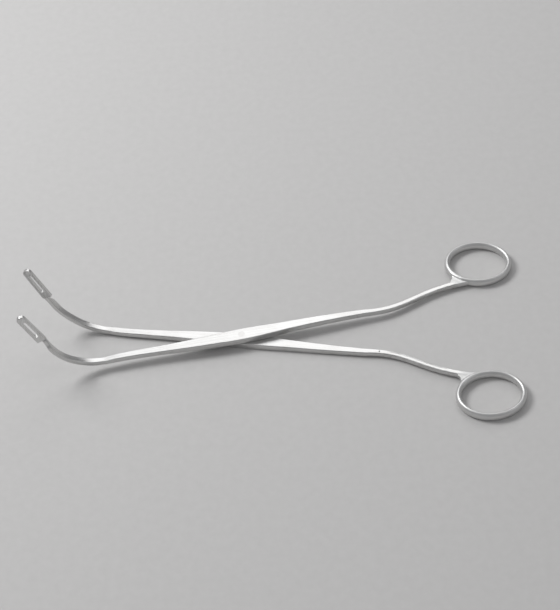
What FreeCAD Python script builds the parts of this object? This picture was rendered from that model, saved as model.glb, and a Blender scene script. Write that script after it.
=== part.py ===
import FreeCAD, Part
import math
import os
import re
import Sketcher
from FreeCAD import Placement, Rotation, Vector

# A slender ring-handled surgical grasping forceps. Two steel halves cross like scissors, one lying
# over the other, and turn on a rivet. Each half is one forging: finger ring, shank, joint, arm and a
# windowed jaw plate. The origin is on the pivot axis, in the flat underside of the lower half's
# joint. The rings lie towards +X, the jaws lie towards -X and curve up, and the part lies open.

os.makedirs("parts", exist_ok=True)
doc = FreeCAD.newDocument("Forceps")
sheet = doc.addObject("Spreadsheet::Sheet", "Sizes")

# Driving sizes, in millimetres and degrees. "Middle" is a place across a half, measured from the
# closing plane when the jaws are closed, and positive towards that half's own finger ring.
SIZES = {
    "open_half_angle": 8.1,
    # Joint
    "joint_thickness": 3.2,
    "joint_width": 6.4,
    "joint_length": 14.0,
    "joint_far_middle": -0.25,
    "joint_near_middle": 0.35,
    "grinding": 0.05,
    "mating_gap": 0.06,
    "edge_round": 0.45,
    # Rivet
    "rivet_diameter": 2.4,
    "rivet_clearance": 0.03,
    "head_diameter": 4.4,
    "head_depth": 1.1,
    "closing_diameter": 3.2,
    "closing_depth": 0.45,
    # Finger ring
    "ring_distance": 116.6,
    "ring_offset": 23.8,
    "ring_length": 31.6,
    "ring_width": 26.8,
    "ring_rim": 2.5,
    "ring_height": 4.2,
    "ring_tilt": 11.5,
    "ring_round": 1.05,
    "grip_drop": 0.6,
    # Shank between the joint and its bend
    "shank_a_distance": 21.0,
    "shank_a_middle": 1.2,
    "shank_a_width": 5.0,
    "shank_a_thick": 3.1,
    "shank_b_back": 74.6,
    "shank_b_middle": 2.25,
    "shank_b_width": 3.8,
    "shank_b_thick": 2.8,
    "shank_c_back": 58.6,
    "shank_c_middle": 2.95,
    "shank_c_width": 2.92,
    "shank_c_thick": 2.6,
    "shank_relief": 0.12,
    "shank_thick": 2.5,
    # Slim end of the shank: each place is back from the ring's centre and in from its middle
    "shank_slim_width": 2.5,
    "bend_a_back": 48.0,
    "bend_a_in": 20.4,
    "bend_b_back": 40.0,
    "bend_b_in": 18.4,
    "bend_c_back": 32.0,
    "bend_c_in": 15.4,
    "bend_d_back": 24.0,
    "bend_d_in": 12.8,
    "bend_e_back": 15.0,
    "bend_e_in": 11.0,
    "bend_f_back": 6.5,
    "bend_f_in": 10.5,
    "shank_root_width": 2.1,
    # Web between the shank and the ring
    "web_angle": 206.0,
    "web_back": 2.7,
    "web_in": 10.6,
    "web_radius": 4.6,
    "web_thick": 2.3,
    "web_sink": 0.1,
    "web_root_turn": 45.0,
    "web_root_length": 1.0,
    # Arm between the joint and the upward curve
    "arm_a_distance": 22.0,
    "arm_a_middle": -0.6,
    "arm_a_width": 5.3,
    "arm_a_thick": 2.9,
    "arm_b_distance": 43.0,
    "arm_b_middle": -0.65,
    "arm_b_width": 3.8,
    "arm_b_thick": 2.6,
    "arm_reach": 63.7,
    "arm_c_middle": -1.4,
    "arm_relief": 0.12,
    "arm_width": 3.05,
    "arm_thick": 2.3,
    # Upward curve and neck
    "curve_radius": 26.0,
    "curve_angle": 67.5,
    "neck_length": 5.6,
    "neck_thick": 2.1,
    "neck_outer_side": 2.6,
    "ramp_length": 3.2,
    # Jaw plate
    "jaw_length": 18.8,
    "jaw_width": 4.8,
    "jaw_tip_radius": 2.15,
    "jaw_thickness": 1.6,
    "jaw_gap": 0.04,
    "jaw_round": 0.4,
    "pad_height": 0.5,
    "window_length": 11.5,
    "window_width": 1.9,
    "window_from_tip": 3.6,
}
for row, (name, size) in enumerate(SIZES.items(), start=1):
    sheet.set(f"A{row}", name)
    sheet.set(f"B{row}", str(size))
    sheet.setAlias(f"B{row}", name)
doc.recompute()

CURVE_STEPS = 6
# How much sooner than the curve's end a half has come to the inner side
INSET_PACE = 1.6
# How far each of the bend's sections has come from the mating face to the ring's level
SETTLING = (0.25, 0.53, 0.76, 0.93, 1, 1, 1)
# Least volume that grinding takes off a joint, and the distance that counts as touching
LEAST_CUT = 0.1
TOUCHING = 1e-4


def on_sheet(text):
    """Puts the sheet's name in front of each size's name in an expression."""
    return re.sub(r"\b(" + "|".join(SIZES) + r")\b", r"Sizes.\1", str(text))


def worth(text):
    """The present value of an expression on the sheet's sizes."""
    answer = sheet.evalExpression(on_sheet(text))
    return answer.Value if hasattr(answer, "Value") else float(answer)


def bind(thing, path, text):
    thing.setExpression(path, on_sheet(text))


def origin_plane(body, role):
    return [part for part in body.Origin.OriginFeatures if part.Role == role][0]


def sketch_on(body, name, role, shift, turn_axis=None, turn="0"):
    """A sketch on one of the body's planes, moved by three expressions and turned by a fourth."""
    sketch = body.newObject("Sketcher::SketchObject", name)
    sketch.AttachmentSupport = [(origin_plane(body, role), "")]
    sketch.MapMode = "FlatFace"
    if turn_axis is not None:
        sketch.AttachmentOffset = Placement(Vector(), Rotation(turn_axis, worth(turn)))
        bind(sketch, "AttachmentOffset.Rotation.Angle", turn)
    for axis, text in zip("xyz", shift):
        bind(sketch, f"AttachmentOffset.Base.{axis}", text)
    return sketch


def fix_size(sketch, name, constraint, text):
    """Adds a named dimension to a sketch and ties it to the sheet."""
    sketch.addConstraint(constraint)
    sketch.renameConstraint(sketch.ConstraintCount - 1, name)
    bind(sketch, f"Constraints.{name}", text)


def section(body, name, place, sides, faces):
    """A rounded rectangle across a half, for a loft.

    place holds the section's X, its Z and its lean; sides and faces hold its low and high limits
    across the half and away from the mating face."""
    along, up, lean = place
    sketch = sketch_on(body, name, "YZ_Plane", ("0", up, along), Vector(1, 0, 0), lean)
    left, right, low, high = [worth(limit) for limit in (*sides, *faces)]
    r = worth("edge_round")
    corners = [
        (left + r, low + r, 180, 270),
        (right - r, low + r, 270, 360),
        (right - r, high - r, 0, 90),
        (left + r, high - r, 90, 180),
    ]
    arcs = []
    for x, y, start, end in corners:
        circle = Part.Circle(Vector(x, y, 0), Vector(0, 0, 1), r)
        arcs.append(Part.ArcOfCircle(circle, math.radians(start), math.radians(end)))
    lines = []
    for one, other in zip(arcs, arcs[1:] + arcs[:1]):
        lines.append(Part.LineSegment(one.EndPoint, other.StartPoint))
    for arc, line in zip(arcs, lines):
        sketch.addGeometry(arc, False)
        sketch.addGeometry(line, False)
    for i in range(4):
        arc, line, following = 2 * i, 2 * i + 1, (2 * i + 2) % 8
        sketch.addConstraint(Sketcher.Constraint("Tangent", arc, 2, line, 1))
        sketch.addConstraint(Sketcher.Constraint("Tangent", line, 2, following, 1))
        direction = "Horizontal" if i % 2 == 0 else "Vertical"
        sketch.addConstraint(Sketcher.Constraint(direction, line))
        if i:
            sketch.addConstraint(Sketcher.Constraint("Equal", 0, arc))
    fix_size(sketch, "Round", Sketcher.Constraint("Radius", 0, r), "edge_round")
    bottom, side, top, other_side = 1, 3, 5, 7
    fix_size(sketch, "Low", Sketcher.Constraint("DistanceY", -1, 1, bottom, 1, low), faces[0])
    fix_size(sketch, "High", Sketcher.Constraint("DistanceY", -1, 1, top, 1, high), faces[1])
    fix_size(sketch, "Right", Sketcher.Constraint("DistanceX", -1, 1, side, 1, right), sides[1])
    fix_size(sketch, "Left", Sketcher.Constraint("DistanceX", -1, 1, other_side, 1, left), sides[0])
    return sketch


def loft(body, name, sketches, ruled=False):
    feature = body.newObject("PartDesign::AdditiveLoft", name)
    feature.Profile = sketches[0]
    feature.Sections = sketches[1:]
    feature.Ruled = ruled
    return feature


def round_edges(body, name, radius, wanted):
    """Rounds the present tip's edges that pass a test on their centre and box."""
    doc.recompute()
    base = body.Tip
    edges = [f"Edge{i}" for i, edge in enumerate(base.Shape.Edges, start=1) if wanted(edge)]
    feature = body.newObject("PartDesign::Fillet", name)
    feature.Base = (base, edges)
    bind(feature, "Radius", radius)
    doc.recompute()
    return feature


# Heights above the lower half's underside
MATE = "(joint_thickness + mating_gap / 2)"
TOP = "(2 * joint_thickness + mating_gap)"


def sides_of(hand, middle, width):
    """Low and high limits across a half; hand is 1 for the upper half and -1 for the lower."""
    return (f"{hand} * ({middle}) - ({width}) / 2", f"{hand} * ({middle}) + ({width}) / 2")


def faces_of(hand, rise, thick):
    """Low and high limits from the mating face for a face that rises off it by rise."""
    inner = f"{hand} * (mating_gap / 2 + ({rise}))"
    outer = f"{hand} * (mating_gap / 2 + ({rise}) + ({thick}))"
    return (inner, outer) if hand > 0 else (outer, inner)


def curve_place(angle, beyond="0"):
    """A place on the mating line's upward curve, and beyond it along its end."""
    along = f"-(arm_reach + curve_radius * sin({angle}) + ({beyond}) * cos({angle}))"
    up = f"{MATE} + curve_radius * (1 - cos({angle})) + ({beyond}) * sin({angle})"
    return (along, up, angle)


def ring(body, hand):
    """The finger ring: an oval band with rounded edges."""
    low = f"{MATE} - grip_drop - ring_height / 2"
    sketch = sketch_on(body, "RingOutline", "XY_Plane", ("0", "0", low))
    tilt = -hand * worth("ring_tilt")
    centre = Vector(worth("ring_distance"), hand * worth("ring_offset"), 0)
    long_way = Rotation(Vector(0, 0, 1), tilt).multVec(Vector(1, 0, 0))
    short_way = Rotation(Vector(0, 0, 1), tilt).multVec(Vector(0, 1, 0))
    for name, inset in (("Outer", "0"), ("Inner", "ring_rim")):
        half_long = f"ring_length / 2 - {inset}"
        half_short = f"ring_width / 2 - {inset}"
        major = centre + long_way * worth(half_long)
        minor = centre + short_way * worth(half_short)
        oval = sketch.addGeometry(Part.Ellipse(major, minor, centre), False)
        sketch.exposeInternalGeometry(oval)
        long_axis, short_axis = oval + 1, oval + 2
        size = Sketcher.Constraint("Distance", long_axis, 2 * worth(half_long))
        fix_size(sketch, f"{name}Length", size, f"2 * ({half_long})")
        size = Sketcher.Constraint("Distance", short_axis, 2 * worth(half_short))
        fix_size(sketch, f"{name}Width", size, f"2 * ({half_short})")
        size = Sketcher.Constraint("DistanceX", -1, 1, oval, 3, centre.x)
        fix_size(sketch, f"{name}Along", size, "ring_distance")
        size = Sketcher.Constraint("DistanceY", -1, 1, oval, 3, centre.y)
        fix_size(sketch, f"{name}Across", size, f"{hand} * ring_offset")
        if name == "Outer":
            first_axis = long_axis
        else:
            sketch.addConstraint(Sketcher.Constraint("Parallel", first_axis, long_axis))
    line = sketch.Geometry[first_axis]
    tip = 2 if (line.EndPoint - line.StartPoint).dot(long_way) > 0 else 1
    rise = worth("ring_length") / 2 * long_way.y
    size = Sketcher.Constraint("DistanceY", 0, 3, first_axis, tip, rise)
    fix_size(sketch, "Tilt", size, f"{-hand} * ring_length / 2 * sin(ring_tilt)")
    band = body.newObject("PartDesign::Pad", "RingBand")
    band.Profile = sketch
    bind(band, "Length", "ring_height")

    def goes_round(edge):
        return len(edge.Vertexes) < 2

    round_edges(body, "RingRounding", "min(ring_round; 0.45 * ring_rim)", goes_round)


def on_oval(hand, angle, inset):
    """A point at an angle round the ring's outline, drawn in by inset, as two expressions."""
    long_part = f"(ring_length / 2 - {inset}) * cos({angle})"
    short_part = f"(ring_width / 2 - {inset}) * sin({angle})"
    along = f"ring_distance + {long_part} * cos(ring_tilt) + {short_part} * sin(ring_tilt)"
    across = f"ring_offset - {long_part} * sin(ring_tilt) + {short_part} * cos(ring_tilt)"
    return along, f"{hand} * ({across})"


def web(body, hand):
    """The flared web in the corner between the shank and the finger ring."""
    low = f"{MATE} - grip_drop - web_thick / 2"
    sketch = sketch_on(body, "WebOutline", "XY_Plane", ("0", "0", low))
    flank = on_oval(hand, "web_angle", "web_sink")
    inside_rim = on_oval(hand, "web_angle + web_root_turn", "ring_rim / 2")
    shank_end = "ring_distance - ring_length / 2 - web_back"
    on_shank = (shank_end, f"{hand} * (ring_offset - web_in)")
    root_across = f"{hand} * (ring_offset - web_in - shank_slim_width / 2)"
    in_shank = (shank_end + " + web_root_length", root_across)
    if hand > 0:
        places = [on_shank, flank, inside_rim, in_shank]
    else:
        places = [flank, on_shank, in_shank, inside_rim]
    corners = [Vector(worth(x), worth(y), 0) for x, y in places]
    chord = corners[1] - corners[0]
    radius = worth("web_radius")
    reach = math.sqrt(radius ** 2 - (chord.Length / 2) ** 2)
    centre = (corners[0] + corners[1]) / 2 + Vector(-chord.y, chord.x, 0).normalize() * reach
    first, last = [math.atan2(corner.y - centre.y, corner.x - centre.x) for corner in corners[:2]]
    circle = Part.Circle(centre, Vector(0, 0, 1), radius)
    sketch.addGeometry(Part.ArcOfCircle(circle, first, last), False)
    for one, other in ((1, 2), (2, 3), (3, 0)):
        sketch.addGeometry(Part.LineSegment(corners[one], corners[other]), False)
    for i in range(4):
        sketch.addConstraint(Sketcher.Constraint("Coincident", i, 2, (i + 1) % 4, 1))
    fix_size(sketch, "Radius", Sketcher.Constraint("Radius", 0, radius), "web_radius")
    for i, (x, y) in enumerate(places):
        size = Sketcher.Constraint("DistanceX", -1, 1, i, 1, corners[i].x)
        fix_size(sketch, f"Along{i}", size, x)
        size = Sketcher.Constraint("DistanceY", -1, 1, i, 1, corners[i].y)
        fix_size(sketch, f"Across{i}", size, y)
    pad = body.newObject("PartDesign::Pad", "Web")
    pad.Profile = sketch
    bind(pad, "Length", "web_thick")


def jaw(body, hand):
    """The windowed jaw plate, seen from its flat inner side."""
    place = curve_place("curve_angle", "neck_length")
    inward = f"{hand} * jaw_gap / 2"
    turn = "180 - curve_angle"
    where = ("XZ_Plane", (*place[:2], inward), Vector(0, 0, 1), turn)
    sketch = sketch_on(body, "JawOutline", *where)
    long, wide = worth("jaw_length"), worth("jaw_width")
    tip = worth("jaw_tip_radius")
    middle = long - tip
    lean = math.asin((wide / 2 - tip) / middle)
    touch = Vector(middle + tip * math.sin(lean), tip * math.cos(lean), 0)
    touch_below = Vector(touch.x, -touch.y, 0)
    base_low, base_high = Vector(0, -wide / 2, 0), Vector(0, wide / 2, 0)
    sketch.addGeometry(Part.LineSegment(base_high, base_low), False)
    sketch.addGeometry(Part.LineSegment(base_low, touch_below), False)
    circle = Part.Circle(Vector(middle, 0, 0), Vector(0, 0, 1), tip)
    sketch.addGeometry(Part.ArcOfCircle(circle, -math.pi / 2 + lean, math.pi / 2 - lean), False)
    sketch.addGeometry(Part.LineSegment(touch, base_high), False)
    base, lower, arc, upper = 0, 1, 2, 3
    sketch.addConstraint(Sketcher.Constraint("Coincident", base, 2, lower, 1))
    sketch.addConstraint(Sketcher.Constraint("Tangent", lower, 2, arc, 1))
    sketch.addConstraint(Sketcher.Constraint("Tangent", arc, 2, upper, 1))
    sketch.addConstraint(Sketcher.Constraint("Coincident", upper, 2, base, 1))
    sketch.addConstraint(Sketcher.Constraint("Vertical", base))
    sketch.addConstraint(Sketcher.Constraint("Symmetric", base, 1, base, 2, -1, 1))
    sketch.addConstraint(Sketcher.Constraint("PointOnObject", arc, 3, -1))
    fix_size(sketch, "Width", Sketcher.Constraint("Distance", base, wide), "jaw_width")
    fix_size(sketch, "TipRound", Sketcher.Constraint("Radius", arc, tip), "jaw_tip_radius")
    size = Sketcher.Constraint("DistanceX", -1, 1, arc, 3, middle)
    fix_size(sketch, "TipPlace", size, "jaw_length - jaw_tip_radius")
    plate = body.newObject("PartDesign::Pad", "JawPlate")
    plate.Profile = sketch
    bind(plate, "Length", "jaw_thickness - jaw_gap / 2")
    plate.Reversed = hand < 0
    outer = -hand * worth("jaw_thickness")

    def on_outer_face(edge):
        box = edge.BoundBox
        flat = abs(box.YMin - outer) < TOUCHING and abs(box.YMax - outer) < TOUCHING
        return flat and box.XMax < 0

    round_edges(body, "JawRounding", "min(jaw_round; 0.4 * jaw_thickness)", on_outer_face)

    hole = sketch_on(body, "WindowOutline", *where)
    r = worth("window_width") / 2
    far = long - worth("window_from_tip") - r
    near = far - worth("window_length") + 2 * r
    far_end = Part.Circle(Vector(far, 0, 0), Vector(0, 0, 1), r)
    near_end = Part.Circle(Vector(near, 0, 0), Vector(0, 0, 1), r)
    hole.addGeometry(Part.ArcOfCircle(far_end, -math.pi / 2, math.pi / 2), False)
    hole.addGeometry(Part.LineSegment(Vector(far, r, 0), Vector(near, r, 0)), False)
    hole.addGeometry(Part.ArcOfCircle(near_end, math.pi / 2, 3 * math.pi / 2), False)
    hole.addGeometry(Part.LineSegment(Vector(near, -r, 0), Vector(far, -r, 0)), False)
    for i in range(4):
        hole.addConstraint(Sketcher.Constraint("Tangent", i, 2, (i + 1) % 4, 1))
    hole.addConstraint(Sketcher.Constraint("Horizontal", 1))
    hole.addConstraint(Sketcher.Constraint("PointOnObject", 0, 3, -1))
    fix_size(hole, "HalfWidth", Sketcher.Constraint("Radius", 0, r), "window_width / 2")
    far_place = "jaw_length - window_from_tip - window_width / 2"
    fix_size(hole, "Far", Sketcher.Constraint("DistanceX", -1, 1, 0, 3, far), far_place)
    near_place = "jaw_length - window_from_tip - window_length + window_width / 2"
    fix_size(hole, "Near", Sketcher.Constraint("DistanceX", -1, 1, 2, 3, near), near_place)
    window = body.newObject("PartDesign::Pocket", "Window")
    window.Profile = hole
    window.Type = "ThroughAll"
    window.Midplane = True


def stations(body, name, hand, rows):
    """Sections across a half; each row is distance, middle, width, rise off the mating face, thickness."""
    made = []
    for i, (distance, middle, width, rise, thick) in enumerate(rows):
        limits = sides_of(hand, middle, width), faces_of(hand, rise, thick)
        made.append(section(body, f"{name}Station{i}", (distance, MATE, "0"), *limits))
    return made


def grind_joint(body, hand):
    """Grinds the joint's outer face flat."""
    height = "0" if hand < 0 else TOP
    sketch = sketch_on(body, "GroundOutline", "XY_Plane", ("0", "0", height))
    long, wide = worth("2 * joint_length"), worth("2 * joint_width")
    corners = [Vector(x * long / 2, y * wide / 2, 0) for x, y in ((-1, -1), (1, -1), (1, 1), (-1, 1))]
    for i in range(4):
        sketch.addGeometry(Part.LineSegment(corners[i], corners[(i + 1) % 4]), False)
    for i in range(4):
        sketch.addConstraint(Sketcher.Constraint("Coincident", i, 2, (i + 1) % 4, 1))
        sketch.addConstraint(Sketcher.Constraint("Horizontal" if i % 2 == 0 else "Vertical", i))
    sketch.addConstraint(Sketcher.Constraint("Symmetric", 0, 1, 1, 2, -1, 1))
    fix_size(sketch, "Long", Sketcher.Constraint("DistanceX", 0, 1, 0, 2, long), "2 * joint_length")
    fix_size(sketch, "Wide", Sketcher.Constraint("DistanceY", 1, 1, 1, 2, wide), "2 * joint_width")
    doc.recompute()
    before = body.Tip.Shape.Volume
    cut = body.newObject("PartDesign::Pocket", "GroundFlat")
    cut.Profile = sketch
    cut.Length = 1
    cut.Reversed = hand > 0
    doc.recompute()
    if cut.Shape.Volume > before - LEAST_CUT:
        raise SystemExit(f"{body.Label}: the joint wasn't ground")


def half(label, hand):
    """One half of the forceps, built closed and then turned about the pivot to where it lies."""
    body = doc.addObject("PartDesign::Body", label)
    body.Label = label
    body.AllowCompound = True
    ring(body, hand)
    web(body, hand)
    jaw(body, hand)

    near, far = "joint_length / 2", "-joint_length / 2"
    ground = "joint_thickness + grinding"
    b_place, c_place = "ring_distance - shank_b_back", "ring_distance - shank_c_back"
    rows = [
        ("-arm_reach", "arm_c_middle", "arm_width", "arm_relief", "arm_thick"),
        ("-arm_b_distance", "arm_b_middle", "arm_b_width", "arm_relief", "arm_b_thick"),
        ("-arm_a_distance", "arm_a_middle", "arm_a_width", "arm_relief / 2", "arm_a_thick"),
        (far, "joint_far_middle", "joint_width", "0", ground),
        (near, "joint_near_middle", "joint_width", "0", ground),
        ("shank_a_distance", "shank_a_middle", "shank_a_width", "shank_relief / 2", "shank_a_thick"),
    ]
    loft(body, "Middle", stations(body, "Middle", hand, rows))

    settled = f"(-mating_gap / 2 - shank_thick / 2 - {hand} * grip_drop)"
    rises = [f"shank_relief + {share} * ({settled} - shank_relief)" for share in SETTLING]
    rows = [
        rows[-1],
        (b_place, "shank_b_middle", "shank_b_width", "shank_relief", "shank_b_thick"),
        (c_place, "shank_c_middle", "shank_c_width", rises[0], "shank_c_thick"),
    ]
    loft(body, "Shank", stations(body, "Shank", hand, rows))

    rows = [rows[-1]]
    for letter, rise in zip("abcdef", rises[1:]):
        back = f"ring_distance - bend_{letter}_back"
        middle = f"ring_offset - bend_{letter}_in"
        width = "shank_root_width" if letter == "f" else "shank_slim_width"
        rows.append((back, middle, width, rise, "shank_thick"))
    loft(body, "Bend", stations(body, "Bend", hand, rows))

    inner_side = "-(jaw_gap / 2 + pad_height)"
    end_middle = f"({inner_side} - arm_width / 2)"
    curved = []
    for i in range(CURVE_STEPS + 1):
        part = i / CURVE_STEPS
        bent = min(1, INSET_PACE * part)
        middle = f"arm_c_middle * {1 - bent} + {end_middle} * {bent}"
        thick = f"arm_thick * {1 - part} + neck_thick * {part}"
        limits = sides_of(hand, middle, "arm_width"), faces_of(hand, "arm_relief", thick)
        place = curve_place(f"{part} * curve_angle")
        curved.append(section(body, f"CurveStation{i}", place, *limits))
    below = curve_place("curve_angle", "neck_length - ramp_length")
    neck_middle = "-(jaw_gap / 2 + pad_height + neck_outer_side) / 2"
    neck_width = "neck_outer_side - jaw_gap / 2 - pad_height"
    limits = sides_of(hand, neck_middle, neck_width), faces_of(hand, "arm_relief", "neck_thick")
    curved.append(section(body, "NeckSection", below, *limits))
    loft(body, "Curve", curved)

    foot = section(body, "RampFoot", below, *limits)
    base_middle = "-(jaw_gap / 2 + jaw_thickness) / 2"
    base_width = "jaw_thickness - jaw_gap / 2"
    limits = sides_of(hand, base_middle, base_width), faces_of(hand, "arm_relief", "neck_thick")
    head = section(body, "RampHead", curve_place("curve_angle", "neck_length"), *limits)
    loft(body, "Ramp", [foot, head], ruled=True)
    grind_joint(body, hand)
    return body


def turned(body, name, points, cut):
    """Revolves a closed outline of (radius, height) expressions about the pivot axis."""
    sketch = sketch_on(body, name + "Outline", "XZ_Plane", ("0", "0", "0"))
    corners = [Vector(worth(x), worth(z), 0) for x, z in points]
    for i, corner in enumerate(corners):
        sketch.addGeometry(Part.LineSegment(corner, corners[(i + 1) % len(corners)]), False)
    for i in range(len(corners)):
        sketch.addConstraint(Sketcher.Constraint("Coincident", i, 2, (i + 1) % len(corners), 1))
    for i, (x, z) in enumerate(points):
        size = Sketcher.Constraint("DistanceX", -1, 1, i, 1, worth(x))
        fix_size(sketch, f"Across{i}", size, x)
        size = Sketcher.Constraint("DistanceY", -1, 1, i, 1, worth(z))
        fix_size(sketch, f"Up{i}", size, z)
    kind = "PartDesign::Groove" if cut else "PartDesign::Revolution"
    feature = body.newObject(kind, name)
    feature.Profile = sketch
    feature.ReferenceAxis = (sketch, ["V_Axis"])
    feature.Angle = 360
    return feature


lower = half("lower_half", -1)
upper = half("upper_half", 1)

# The rivet's countersunk head turns in the lower half, and its other end is closed in the upper
loose = "rivet_clearance"
lower_hole = [
    ("0", "-1"),
    ("head_diameter / 2 + " + loose, "-1"),
    ("head_diameter / 2 + " + loose, "0"),
    ("rivet_diameter / 2 + " + loose, "head_depth"),
    ("rivet_diameter / 2 + " + loose, "joint_thickness + 1"),
    ("0", "joint_thickness + 1"),
]
turned(lower, "PivotHole", lower_hole, True)
upper_hole = [
    ("0", "joint_thickness - 1"),
    ("rivet_diameter / 2", "joint_thickness - 1"),
    ("rivet_diameter / 2", TOP + " - closing_depth"),
    ("closing_diameter / 2", TOP),
    ("closing_diameter / 2", TOP + " + 1"),
    ("0", TOP + " + 1"),
]
turned(upper, "PivotHole", upper_hole, True)
rivet = doc.addObject("PartDesign::Body", "pivot_rivet")
rivet.Label = "pivot_rivet"
rivet_shape = [
    ("0", "0"),
    ("head_diameter / 2", "0"),
    ("rivet_diameter / 2", "head_depth"),
    ("rivet_diameter / 2", TOP + " - closing_depth"),
    ("closing_diameter / 2", TOP),
    ("0", TOP),
]
turned(rivet, "Rivet", rivet_shape, False)

for body, hand in ((lower, -1), (upper, 1)):
    body.Placement = Placement(Vector(), Rotation(Vector(0, 0, 1), hand * worth("open_half_angle")))
    bind(body, "Placement.Rotation.Angle", "open_half_angle")
    bind(body, "Placement.Rotation.Axis.z", str(hand))
doc.recompute()

for item in doc.Objects:
    if "Invalid" in item.State or "Error" in item.State:
        raise SystemExit(f"{item.Label} failed: {item.State}")
for body in (lower, upper, rivet):
    shape = body.Shape
    if shape.isNull() or not shape.isValid() or len(shape.Solids) != 1:
        raise SystemExit(f"{body.Label} isn't one valid solid")
    shape.exportStep(f"parts/{body.Label}.step")
    print(body.Label, round(shape.Volume, 2), shape.BoundBox)
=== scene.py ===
import math

import bmesh
import bpy
import numpy as np
from mathutils import Matrix, Vector
from mathutils.bvhtree import BVHTree
from mathutils.geometry import intersect_point_line


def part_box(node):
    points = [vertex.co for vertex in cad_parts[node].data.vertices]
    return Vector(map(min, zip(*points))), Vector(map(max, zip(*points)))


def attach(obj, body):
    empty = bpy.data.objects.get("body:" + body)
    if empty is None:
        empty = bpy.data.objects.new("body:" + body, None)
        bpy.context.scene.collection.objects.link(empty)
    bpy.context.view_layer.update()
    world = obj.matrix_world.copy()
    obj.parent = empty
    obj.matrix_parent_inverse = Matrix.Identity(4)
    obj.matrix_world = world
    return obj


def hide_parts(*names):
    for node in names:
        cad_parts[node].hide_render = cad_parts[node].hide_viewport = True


# Satin-polished steel grasping forceps with two finger rings. The forged halves start from the solids
# of the fixed frame. They gain an oval ring section, blended corners, a shallow hollow along the
# shank, serrated jaw pads and a punch mark. The rivet only gets its finish.

MM = 0.001
OPEN_HALF_ANGLE = math.radians(8.1)

# Places and sizes on a closed half, in millimetres and degrees, where the frame's solids have them
MATING_HEIGHT = 3.23
RING_DISTANCE, RING_OFFSET = 116.6, 23.8
RING_LENGTH, RING_WIDTH, RING_RIM, RING_TILT = 31.6, 26.8, 2.5, 11.5
RING_MIDDLE_HEIGHT, RING_HALF_HEIGHT = 2.63, 2.1
CURVE_START, CURVE_RADIUS, CURVE_ANGLE = 63.7, 26.0, 67.5
NECK_LENGTH = 5.6
PAD_DEPTH = 0.02
# Jaw serrations
TOOTH_PITCH = 0.62
TOOTH_DEPTH = 0.2
GROOVE_ANGLE = 42.0
PAD_RIM, RIM_SLOPE = 0.12, 0.12
PEAK_SHARE = 0.01
PAD_FLATNESS, PAD_MARGIN = 0.004, 0.01
BELOW_JAW_BASE = 5
# Blends between the ring, its web and the shank, and between the neck and the jaw plate
WEB_PLACE = Vector((100.5, 14.0, 2.6))
WEB_REACH = 7.5
NECK_REACH = 4.5
BLEND_GRAIN = 0.35
BLEND_SPLITS = 5
PAD_CLEAR = 0.3
CREASE_ANGLE = 12
CREASE_CORE, CREASE_REACH = 0.25, 0.9
CREASE_ROUNDS, CREASE_PULL = 12, 0.6
CREASE_INSET, MOVED_INSET = 2, 1
# How much the ring's band narrows at its top and bottom, and where that starts beside the web
RING_TAPER = 0.42
TAPER_START, TAPER_FULL = 4.5, 8.0
TAPER_STEP = 0.35
RING_MARGIN, BAND_MARGIN = 1, 0.05
# Shallow hollow along the mating side of the slim shank, with the shank's middle at some places
SHANK_PLACES = (58.0, 68.6, 76.6, 84.6, 92.6, 101.6)
SHANK_MIDDLES = (2.95, 3.35, 5.4, 8.4, 11.0, 12.8)
HOLLOW_START, HOLLOW_END, HOLLOW_FADE = 66.5, 98.0, 5.0
HOLLOW_RADIUS = 2.6
HOLLOW_DEPTH = 0.11
HOLLOW_STEP, HOLLOW_LIFT = 1.0, 0.01
ABOVE_SHANK = 50
# Inspector's punch mark beside the hollow's start
PUNCH_PLACE = 64.5
PUNCH_RADIUS = 0.55
PUNCH_DEPTH = 0.28
# How the grinding runs round a ring, and where it changes over to running along the shank
RING_FLOW_START, RING_FLOW_RADIUS, RING_FLOW_REACH = 200, 14.0, 17.0
RING_SHARE_FULL, RING_SHARE_NONE = 16.0, 19.0
# Mesh work: how near points are welded, in metres, and cuts are snapped, and where edges are sharp
WELD = 1e-7
SNAP = 1e-5
SHARP_ANGLE = 33
# Colours, each from its darker to its lighter tone
STEEL_TONES = (0.54, 0.535, 0.525, 1), (0.70, 0.70, 0.695, 1)
RIVET_TONES = (0.50, 0.495, 0.485, 1), (0.64, 0.635, 0.63, 1)
TABLE_TONES = (0.56, 0.555, 0.55, 1), (0.62, 0.615, 0.61, 1)
SURROUND = (0.29, 0.29, 0.295, 1)
# Stage, in metres
TABLE_REACH = 3.0
TABLE_DROP = 0.02 * MM
LAMP_AIM = Vector((0.015, 0, 0))

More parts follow.
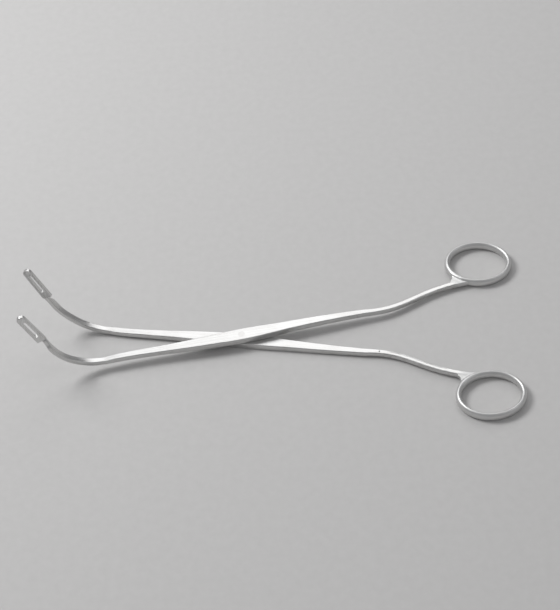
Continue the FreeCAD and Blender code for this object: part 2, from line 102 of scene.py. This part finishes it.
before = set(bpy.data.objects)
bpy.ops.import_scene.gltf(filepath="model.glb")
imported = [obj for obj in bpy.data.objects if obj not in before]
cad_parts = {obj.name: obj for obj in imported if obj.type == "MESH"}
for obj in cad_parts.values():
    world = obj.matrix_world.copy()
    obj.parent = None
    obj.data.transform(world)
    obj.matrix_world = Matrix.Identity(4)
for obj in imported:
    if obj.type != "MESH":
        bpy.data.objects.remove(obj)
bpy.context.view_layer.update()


# Shader maths
class Wire:
    """A shader socket that takes part in Python expressions."""

    def __init__(self, tree, socket):
        self.tree = tree
        self.socket = socket

    def maths(self, operation, *others):
        node = self.tree.nodes.new("ShaderNodeMath")
        node.operation = operation
        for place, value in enumerate((self, *others)):
            feed(self.tree, value, node.inputs[place])
        return Wire(self.tree, node.outputs[0])

    def __add__(self, other):
        return self.maths("ADD", other)

    def __radd__(self, other):
        return self.maths("ADD", other)

    def __rsub__(self, other):
        return Wire(self.tree, constant(self.tree, other)).maths("SUBTRACT", self)

    def __mul__(self, other):
        return self.maths("MULTIPLY", other)

    def between(self, low, high):
        """0 below low, 1 above high and smooth in between."""
        node = self.tree.nodes.new("ShaderNodeMapRange")
        node.interpolation_type = "SMOOTHSTEP"
        feed(self.tree, self, node.inputs["Value"])
        node.inputs["From Min"].default_value = low
        node.inputs["From Max"].default_value = high
        return Wire(self.tree, node.outputs[0])


def constant(tree, number):
    node = tree.nodes.new("ShaderNodeValue")
    node.outputs[0].default_value = number
    return node.outputs[0]


def feed(tree, value, socket):
    if isinstance(value, Wire):
        tree.links.new(value.socket, socket)
    else:
        socket.default_value = value


class Finish:
    """A material that is put together from expressions and named nodes."""

    def __init__(self, name):
        self.material = bpy.data.materials.new(name)
        self.material.use_nodes = True
        self.tree = self.material.node_tree
        self.shader = self.tree.nodes["Principled BSDF"]

    def node(self, kind, settings, sockets, output=0):
        """A node with its settings set first, then its sockets' values or links by name or number."""
        made = self.tree.nodes.new(kind)
        for key, value in settings.items():
            setattr(made, key, value)
        for key, value in sockets.items():
            feed(self.tree, value, made.inputs[key])
        return Wire(self.tree, made.outputs[output])

    def flow(self):
        """Each point's place along, across and over its half, in millimetres, as the grinder ran."""
        return self.node("ShaderNodeAttribute", {"attribute_name": "flow"}, {}, "Vector")

    def place(self):
        return self.node("ShaderNodeTexCoord", {}, {}, "Object")

    def stretched(self, vector, scale):
        sockets = {0: vector, 1: scale}
        return self.node("ShaderNodeVectorMath", {"operation": "MULTIPLY"}, sockets, "Vector")

    def noise(self, vector, scale, detail=3.0, roughness=0.55):
        sockets = {"Vector": vector, "Scale": scale, "Detail": detail, "Roughness": roughness}
        return self.node("ShaderNodeTexNoise", {}, sockets, "Fac")

    def mix(self, share, one, other):
        return self.node("ShaderNodeMix", {"data_type": "RGBA"}, {0: share, 6: one, 7: other}, 2)

    def bump(self, height, distance, strength=1.0):
        sockets = {"Height": height, "Distance": distance, "Strength": strength}
        return self.node("ShaderNodeBump", {}, sockets, "Normal")

    def set(self, **values):
        for key, value in values.items():
            feed(self.tree, value, self.shader.inputs[key.replace("_", " ")])
        return self.material


def satin_steel():
    """Satin-polished stainless steel with fine grinding lines along each half."""
    finish = Finish("satin_steel")
    flow = finish.flow()
    on_ring = finish.node("ShaderNodeAttribute", {"attribute_name": "ring_share"}, {}, "Fac")
    fine = finish.noise(finish.stretched(flow, (0.12, 9.0, 9.0)), 1.0, 2.0)
    broad = finish.noise(finish.stretched(flow, (0.02, 1.5, 1.5)), 1.0, 2.0)
    cloud = finish.noise(finish.place(), 90.0, 3.0)
    specks = finish.noise(finish.place(), 2600.0, 2.0)
    stripes = broad.between(0.38, 0.64)
    lines = (fine * 0.72 + stripes * 0.28) * (1.0 - on_ring * 0.75) + on_ring * 0.375
    rough = 0.19 + lines * 0.14 + cloud * 0.08 + on_ring * 0.17
    tone = (cloud * 0.45 + lines * 0.55 + on_ring * 0.15).between(0.25, 0.72)
    colour = finish.mix(tone, *STEEL_TONES)
    height = lines * 0.8 + specks * 0.2
    normal = finish.bump(height, 0.006 * MM)
    return finish.set(Base_Color=colour, Roughness=rough, Metallic=1.0, Normal=normal)


def ground_rivet():
    """The rivet, ground flush with the joint, so that the same lines run on over its end."""
    finish = Finish("ground_rivet")
    lines = finish.noise(finish.stretched(finish.place(), (900.0, 5200.0, 900.0)), 1.0, 2.0)
    stain = finish.noise(finish.place(), 420.0, 3.0)
    colour = finish.mix(stain, *RIVET_TONES)
    normal = finish.bump(lines, 0.004 * MM)
    return finish.set(Base_Color=colour, Roughness=0.22 + lines * 0.16, Metallic=1.0, Normal=normal)


# The forged halves. Each is worked on in millimetres, as it lies closed, with its ring towards +Y.
def to_closed(hand):
    """From the frame to a closed half in millimetres; the lower half's mirror image is worked on."""
    turn = Matrix.Rotation(-hand * OPEN_HALF_ANGLE, 4, "Z")
    mirror = Matrix.Diagonal((1, hand, 1, 1))
    return mirror @ turn @ Matrix.Scale(1 / MM, 4)


def smooth_step(value, low, high):
    share = np.clip((value - low) / (high - low), 0, 1)
    return share * share * (3 - 2 * share)


def jaw_axes():
    """The jaw plate's base, and its directions along and across the pad."""
    lean = math.radians(CURVE_ANGLE)
    along = Vector((-math.cos(lean), 0, math.sin(lean)))
    across = Vector((math.sin(lean), 0, math.cos(lean)))
    end = Vector((-(CURVE_START + CURVE_RADIUS * math.sin(lean)), 0,
                  MATING_HEIGHT + CURVE_RADIUS * (1 - math.cos(lean))))
    return end + along * NECK_LENGTH, along, across


def distance_to_lines(points, starts, ends):
    """How far each point is from the nearest of some straight lines."""
    starts = np.array(starts)
    runs = np.array(ends) - starts
    offsets = points[:, None] - starts
    shares = (offsets * runs).sum(2) / (runs * runs).sum(1)
    nearest = starts + np.clip(shares, 0, 1)[:, :, None] * runs
    return np.linalg.norm(points[:, None] - nearest, axis=2).min(1)


def cut_serrations(work):
    """Two crossing sets of fine grooves in the pad, which leave rows of small pyramids."""
    base, along, across = jaw_axes()

    def on_pad(face):
        return all(abs(vert.co.y + PAD_DEPTH) < PAD_FLATNESS and vert.co.z > base.z - BELOW_JAW_BASE
                   for vert in face.verts)

    def on_pad_side(face):
        middle = face.calc_center_median()
        inside = -PAD_DEPTH - TOOTH_DEPTH - PAD_MARGIN < middle.y < -PAD_DEPTH + PAD_MARGIN
        return inside and middle.z > base.z - BELOW_JAW_BASE and (middle - base).dot(along) > 0

    def slice_pad(faces, place, direction):
        edges = {edge for face in faces for edge in face.edges}
        verts = {vert for face in faces for vert in face.verts}
        cut = bmesh.ops.bisect_plane(work, geom=[*faces, *edges, *verts], dist=SNAP, plane_co=place,
                                     plane_no=direction)
        return [item for item in cut["geom"] if isinstance(item, bmesh.types.BMFace)]

    faces = slice_pad([face for face in work.faces if on_pad(face)], base, across)
    for side in (1, -1):
        one_side = [face for face in faces
                    if (face.calc_center_median() - base).dot(across) * side > 0]
        bmesh.ops.dissolve_faces(work, faces=one_side)
        faces = [face for face in work.faces if on_pad(face)]
    lean = math.radians(90 - GROOVE_ANGLE)
    normals = [along * math.cos(lean) + across * math.sin(lean) * side for side in (1, -1)]
    corners = [(vert.co - base) for face in faces for vert in face.verts]
    for normal in normals:
        reaches = [corner.dot(normal) for corner in corners]
        first, last = (int(reach / TOOTH_PITCH * 2) for reach in (min(reaches), max(reaches)))
        for step in range(first, last + 1):
            faces = slice_pad(faces, base + normal * step * TOOTH_PITCH / 2, normal)

    pad = set(faces)
    rim = [edge for edge in {edge for face in faces for edge in face.edges}
           if sum(face in pad for face in edge.link_faces) == 1]
    verts = list({vert for face in faces for vert in face.verts})
    points = np.array([vert.co for vert in verts])
    offsets = points - np.array(base)
    valleys = [np.abs((offsets @ np.array(normal) / TOOTH_PITCH * 2) % 2 - 1) for normal in normals]
    ends = [[edge.verts[i].co for edge in rim] for i in (0, 1)]
    fade = smooth_step(distance_to_lines(points, *ends), PAD_RIM, PAD_RIM + RIM_SLOPE)
    depths = TOOTH_DEPTH * np.maximum(*valleys) * fade
    for vert, depth in zip(verts, depths):
        vert.co.y -= depth
    peaks = {vert for vert, share in zip(verts, np.maximum(*valleys)) if share < PEAK_SHARE}
    for face in faces:
        if len(face.verts) == 4:
            tops = [i for i, vert in enumerate(face.verts) if vert in peaks]
            if len(tops) == 1:
                around = list(face.verts)
                bmesh.utils.face_split(face, around[tops[0]], around[(tops[0] + 2) % 4])
    bmesh.ops.triangulate(work, faces=[face for face in work.faces if len(face.verts) > 4])
    for face in work.faces:
        face.smooth = not on_pad_side(face)


def span_to(edge, place):
    """How near an edge comes to a place."""
    start, end = (vert.co for vert in edge.verts)
    _, share = intersect_point_line(place, start, end)
    return (start.lerp(end, min(1, max(0, share))) - place).length


def round_ring(work):
    """Turns the ring's flat-sided band into an oval section, except beside the web."""
    def from_middle(points):
        """The point of the band's middle line beside each point, and the way from it."""
        lean = math.radians(RING_TILT)
        turn = np.array([[math.cos(lean), -math.sin(lean)], [math.sin(lean), math.cos(lean)]])
        flat = (points[:, :2] - (RING_DISTANCE, RING_OFFSET)) @ turn.T
        radii = np.array([RING_LENGTH - RING_RIM, RING_WIDTH - RING_RIM]) / 2
        angle = np.arctan2(flat[:, 1] / radii[1], flat[:, 0] / radii[0])
        middle = np.stack([np.cos(angle), np.sin(angle)], 1) * radii
        return middle @ turn + (RING_DISTANCE, RING_OFFSET), (flat - middle) @ turn

    steps = int(RING_HALF_HEIGHT / TAPER_STEP)
    for step in range(-steps + 1, steps):
        verts = [vert for vert in work.verts if vert.co.x > RING_DISTANCE - RING_LENGTH / 2 - RING_MARGIN]
        edges = {edge for vert in verts for edge in vert.link_edges}
        faces = {face for vert in verts for face in vert.link_faces}
        place = Vector((0, 0, RING_MIDDLE_HEIGHT + step * TAPER_STEP))
        bmesh.ops.bisect_plane(work, geom=[*verts, *edges, *faces], dist=SNAP, plane_co=place,
                               plane_no=(0, 0, 1))
    bmesh.ops.triangulate(work, faces=[face for face in work.faces if len(face.verts) > 4])
    verts = [vert for vert in work.verts if vert.co.x > RING_DISTANCE - RING_LENGTH / 2 - RING_MARGIN]
    points = np.array([vert.co for vert in verts])
    middles, offsets = from_middle(points)
    heights = (points[:, 2] - RING_MIDDLE_HEIGHT) / RING_HALF_HEIGHT
    apart = np.hypot(points[:, 0] - WEB_PLACE.x, points[:, 1] - WEB_PLACE.y)
    shares = RING_TAPER * heights ** 2 * smooth_step(apart, TAPER_START, TAPER_FULL)
    shares *= np.linalg.norm(offsets, axis=1) < RING_RIM / 2 + BAND_MARGIN
    moved = middles + offsets * (1 - shares)[:, None]
    for vert, share, place in zip(verts, shares, moved):
        if share > 0:
            vert.co.x, vert.co.y = place


def blend_corners(work, place, reach):
    """Rounds the inner corners near a place, as a forging has them, and leaves the pad alone."""
    near = [edge for edge in work.edges
            if len(edge.link_faces) == 2 and span_to(edge, place) < reach - CREASE_INSET]
    inner = [edge for edge in near
             if not edge.is_convex and edge.calc_face_angle() > math.radians(CREASE_ANGLE)]
    starts = [edge.verts[0].co.copy() for edge in inner]
    ends = [edge.verts[1].co.copy() for edge in inner]
    for _ in range(BLEND_SPLITS):
        long = [edge for edge in work.edges
                if edge.calc_length() > BLEND_GRAIN and span_to(edge, place) < reach]
        bmesh.ops.subdivide_edges(work, edges=long, cuts=1)
        bmesh.ops.triangulate(work, faces=[face for face in work.faces if len(face.verts) > 3])
    verts = [vert for vert in work.verts
             if (vert.co - place).length < reach - MOVED_INSET
             and abs(vert.co.y + PAD_DEPTH) > PAD_CLEAR]
    points = np.array([vert.co for vert in verts])
    shares = 1 - smooth_step(distance_to_lines(points, starts, ends), CREASE_CORE, CREASE_REACH)
    moved = [(vert, share) for vert, share in zip(verts, shares) if share > 0]
    for _ in range(CREASE_ROUNDS):
        middles = []
        for vert, _ in moved:
            around = [edge.other_vert(vert).co for edge in vert.link_edges]
            middles.append(sum(around, Vector()) / len(around))
        for (vert, share), middle in zip(moved, middles):
            vert.co = vert.co.lerp(middle, CREASE_PULL * share)


def smooth_curve(places, values, at):
    """A smooth curve through some points, which turns gently from each slope to the next."""
    slopes = np.gradient(np.array(values), np.array(places))
    found = []
    for x in at:
        i = min(max(int(np.searchsorted(places, x)) - 1, 0), len(places) - 2)
        span = places[i + 1] - places[i]
        t = (x - places[i]) / span
        start, end = values[i], values[i + 1]
        found.append((2 * t ** 3 - 3 * t ** 2 + 1) * start + (3 * t ** 2 - 2 * t ** 3) * end
                     + (t ** 3 - 2 * t ** 2 + t) * span * slopes[i]
                     + (t ** 3 - t ** 2) * span * slopes[i + 1])
    return np.array(found)


def subtract(work, cutter):
    """The first shape less the second, by an exact Boolean."""
    things = []
    for name, shape in (("to_cut", work), ("cutter", cutter)):
        mesh = bpy.data.meshes.new(name)
        shape.to_mesh(mesh)
        shape.free()
        thing = bpy.data.objects.new(name, mesh)
        bpy.context.scene.collection.objects.link(thing)
        things.append(thing)
    cut = things[0].modifiers.new("cut", "BOOLEAN")
    cut.object = things[1]
    cut.solver = "EXACT"
    done = bmesh.new()
    done.from_object(things[0], bpy.context.evaluated_depsgraph_get())
    for thing in things:
        bpy.data.objects.remove(thing)
    bmesh.ops.triangulate(done, faces=[face for face in done.faces if len(face.verts) > 4])
    return done


def tube(work, path, radius, segments=40):
    """A closed round tube along a path, for cutting."""
    rings = []
    for i, place in enumerate(path):
        before, after = path[max(0, i - 1)], path[min(len(path) - 1, i + 1)]
        side = (after - before).cross(Vector((0, 0, 1))).normalized()
        ring = []
        for step in range(segments):
            turn = 2 * math.pi * step / segments
            offset = side * math.cos(turn) + Vector((0, 0, 1)) * math.sin(turn)
            ring.append(work.verts.new(place + offset * radius))
        rings.append(ring)
    for one, other in zip(rings, rings[1:]):
        for i in range(segments):
            j = (i + 1) % segments
            work.faces.new((one[i], one[j], other[j], other[i]))
    work.faces.new(reversed(rings[0]))
    work.faces.new(rings[-1])


def cut_hollow(work, hand):
    """Cuts the shank's shallow hollow, and on the lower half the punch mark, with one cutter."""
    surface = BVHTree.FromBMesh(work)
    up = Vector((0, 0, -hand))
    places = np.arange(HOLLOW_START, HOLLOW_END + HOLLOW_STEP / 10, HOLLOW_STEP)
    middles = smooth_curve(SHANK_PLACES, SHANK_MIDDLES, places)
    depths = HOLLOW_DEPTH * smooth_step(places, HOLLOW_START, HOLLOW_START + HOLLOW_FADE)
    depths *= 1 - smooth_step(places, HOLLOW_END - HOLLOW_FADE, HOLLOW_END)
    cutter = bmesh.new()
    path = []
    for x, y, depth in zip(places, middles, depths - HOLLOW_LIFT):
        hit = surface.ray_cast(Vector((x, y, 0)) + up * ABOVE_SHANK, -up)[0]
        path.append(hit + up * (HOLLOW_RADIUS - depth))
    tube(cutter, path, HOLLOW_RADIUS)
    if hand < 0:
        y = smooth_curve(SHANK_PLACES, SHANK_MIDDLES, np.array([PUNCH_PLACE]))[0]
        hit = surface.ray_cast(Vector((PUNCH_PLACE, y, 0)) + up * ABOVE_SHANK, -up)[0]
        place = Matrix.Translation(hit + up * (PUNCH_RADIUS - PUNCH_DEPTH))
        bmesh.ops.create_icosphere(cutter, subdivisions=3, radius=PUNCH_RADIUS, matrix=place)
    bmesh.ops.recalc_face_normals(cutter, faces=cutter.faces)
    return subtract(work, cutter)


def flow_of(points):
    """Each point's place along, across and over the half, and 1 on the ring falling to 0 off it."""
    x, y, z = points.T
    lean = math.radians(CURVE_ANGLE)
    centre_height = MATING_HEIGHT + CURVE_RADIUS
    angle = np.clip(np.arctan2(-CURVE_START - x, centre_height - z), 0, lean)
    past = np.maximum(0, (-CURVE_START - x) * math.cos(lean) + (z - centre_height) * math.sin(lean))
    on_curve = x < -CURVE_START
    along = np.where(on_curve, -CURVE_START - CURVE_RADIUS * angle - past, x)
    reach = np.hypot(-CURVE_START - x, centre_height - z)
    over = np.where(on_curve, CURVE_RADIUS - reach, z - MATING_HEIGHT)

    ring_x, ring_y = x - RING_DISTANCE, y - RING_OFFSET
    turned = np.arctan2(ring_y, -ring_x)
    radius = np.hypot(ring_x, ring_y)
    on_ring = smooth_step(-radius, -RING_SHARE_NONE, -RING_SHARE_FULL)
    lies_on_ring = radius < RING_FLOW_REACH
    along = np.where(lies_on_ring, RING_FLOW_START + turned * RING_FLOW_RADIUS, along)
    across = np.where(lies_on_ring, radius, y)
    return np.stack([along, across, over], 1), on_ring


def add_flow(mesh, hand):
    """Stores how the grinding runs over a half, for its material."""
    points = np.array([to_closed(hand) @ vert.co for vert in mesh.vertices])
    flow, on_ring = flow_of(points)
    mesh.attributes.new("flow", "FLOAT_VECTOR", "POINT").data.foreach_set("vector", flow.ravel())
    mesh.attributes.new("ring_share", "FLOAT", "POINT").data.foreach_set("value", on_ring)


def forged_half(node, hand, body, material):
    """One half: its solid from the frame, reshaped and cut as the forging is, with its finish."""
    work = bmesh.new()
    work.from_mesh(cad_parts[node].data)
    bmesh.ops.remove_doubles(work, verts=work.verts, dist=WELD)
    bmesh.ops.transform(work, matrix=to_closed(hand), verts=work.verts)
    bmesh.ops.recalc_face_normals(work, faces=work.faces)
    round_ring(work)
    blend_corners(work, WEB_PLACE, WEB_REACH)
    blend_corners(work, jaw_axes()[0], NECK_REACH)
    work = cut_hollow(work, hand)
    cut_serrations(work)
    bmesh.ops.transform(work, matrix=to_closed(hand).inverted(), verts=work.verts)
    work.normal_update()
    mesh = bpy.data.meshes.new(node + "_forging")
    work.to_mesh(mesh)
    work.free()
    if "custom_normal" in mesh.attributes:
        mesh.attributes.remove(mesh.attributes["custom_normal"])
    mesh.set_sharp_from_angle(angle=math.radians(SHARP_ANGLE))
    add_flow(mesh, hand)
    mesh.materials.append(material)
    forging = bpy.data.objects.new(node + "_forging", mesh)
    bpy.context.scene.collection.objects.link(forging)
    weighted = forging.modifiers.new("flat_faces", "WEIGHTED_NORMAL")
    weighted.keep_sharp = True
    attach(forging, body)
    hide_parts(node)


steel = satin_steel()
forged_half("lower_half", -1, "lower", steel)
forged_half("upper_half", 1, "upper", steel)
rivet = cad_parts["pivot_rivet"]
rivet.data.materials.clear()
rivet.data.materials.append(ground_rivet())


# Stage
def stage_and_light():
    """A plain pale table, which the joint and both rings touch, soft lamps and an even surround."""
    mesh = bpy.data.meshes.new("table")
    plane = bmesh.new()
    bmesh.ops.create_grid(plane, x_segments=1, y_segments=1, size=TABLE_REACH)
    plane.to_mesh(mesh)
    table = bpy.data.objects.new("table", mesh)
    bpy.context.scene.collection.objects.link(table)
    ring_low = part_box("upper_half")[0].z
    ring_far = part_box("upper_half")[1].x
    table.rotation_euler.y = -math.atan2(ring_low, ring_far)
    table.location.z = -TABLE_DROP
    finish = Finish("table_top")
    grain = finish.noise(finish.place(), 260.0, 4.0)
    colour = finish.mix(grain, *TABLE_TONES)
    finish.set(Base_Color=colour, Roughness=0.85)
    mesh.materials.append(finish.material)

    for name, place, size, power in (
        ("key", (-0.62, 0.30, 0.80), 0.40, 6.5),
        ("back_panel", (0.02, 0.95, 0.95), 0.8, 3.1),
        ("side_fill", (0.8, -0.2, 0.7), 0.6, 0.8),
    ):
        data = bpy.data.lights.new(name, "AREA")
        data.size = size
        data.energy = power
        lamp = bpy.data.objects.new(name, data)
        bpy.context.scene.collection.objects.link(lamp)
        lamp.location = place
        aim = LAMP_AIM - Vector(place)
        lamp.rotation_euler = aim.to_track_quat("-Z", "Y").to_euler()

    world = bpy.data.worlds.new("surround")
    world.use_nodes = True
    world.node_tree.nodes["Background"].inputs["Color"].default_value = SURROUND
    bpy.context.scene.world = world


def photo_camera():
    """The photograph's viewing angle: 48 degrees above the table, a little to the right, and rolled."""
    target = Vector((17.6, 19.7, 3.2)) * MM
    azimuth, elevation, roll = math.radians(5.34), math.radians(48.0), math.radians(-6.909)
    distance = 789.7 * MM
    focal_pixels, long_side = 1673.0, 610.0
    back = Vector((math.sin(azimuth) * math.cos(elevation), -math.cos(azimuth) * math.cos(elevation),
                   math.sin(elevation)))
    data = bpy.data.cameras.new("photo_camera")
    data.sensor_width = 36.0
    data.lens = focal_pixels / long_side * data.sensor_width
    camera = bpy.data.objects.new("photo_camera", data)
    bpy.context.scene.collection.objects.link(camera)
    camera.rotation_mode = "QUATERNION"
    camera.location = target + back * distance
    level = (-back).to_track_quat("-Z", "Y").to_matrix()
    camera.rotation_quaternion = (level @ Matrix.Rotation(roll, 3, "Z")).to_quaternion()
    bpy.context.scene.camera = camera


stage_and_light()
photo_camera()
bpy.context.scene.view_settings.view_transform = "Standard"
